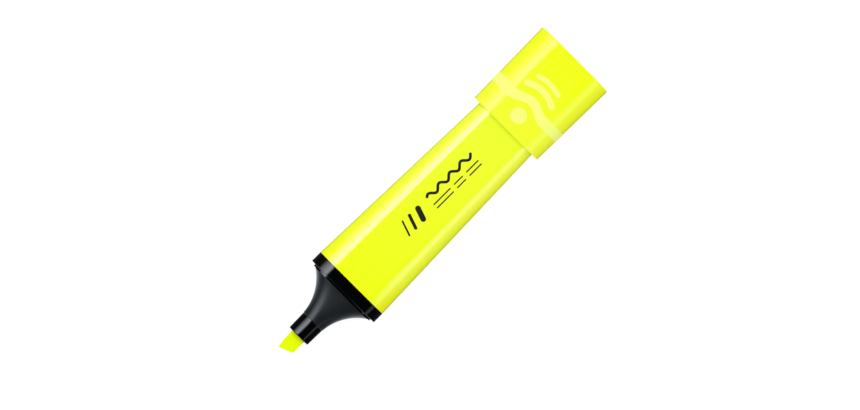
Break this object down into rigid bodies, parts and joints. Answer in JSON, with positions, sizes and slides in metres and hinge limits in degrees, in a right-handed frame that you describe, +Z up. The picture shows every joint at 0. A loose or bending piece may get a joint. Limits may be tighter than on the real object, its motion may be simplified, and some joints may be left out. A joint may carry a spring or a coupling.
{
  "type": "highlighter",
  "caption": "Flat-barrelled highlighter with a chisel fibre nib, a flared soft grip and a pull-off cap posted on the rear end of the barrel.",
  "frame": {"origin": "middle of the base of the whole pen, cap posted, lying on one broad face", "axes": "+X along the pen from the nib to the cap's closed end, +Y across the broad faces, +Z up through the thickness"},
  "size_m": [0.1242, 0.0274, 0.0155],
  "materials": {
    "barrel_yellow": "polished fluorescent yellow polypropylene",
    "section_black": "polished black moulding",
    "grip_rubber": "satin charcoal soft-touch skin",
    "nib_fibre": "bonded fibre soaked with fluorescent ink",
    "reservoir_fibre": "ink-soaked fibre bundle",
    "reservoir_film": "thin milky film",
    "cap_yellow": "polished fluorescent yellow with a satin raised pattern",
    "liner_white": "natural polyethylene",
    "print_ink": "black pad-printed ink"
  },
  "bodies": {
    "pen": {"barrel": "barrel_yellow", "front_section": "section_black", "grip_sleeve": "grip_rubber", "nib": "nib_fibre", "ink_reservoir": "reservoir_fibre", "reservoir_wrap": "reservoir_film"},
    "cap": {"cap_shell": "cap_yellow", "cap_liner": "liner_white"}
  },
  "joints": [
    {"name": "cap_slide", "type": "slide", "parent": "pen", "child": "cap", "axis": [1, 0, 0], "range_m": [0, 0.04]}
  ]
}
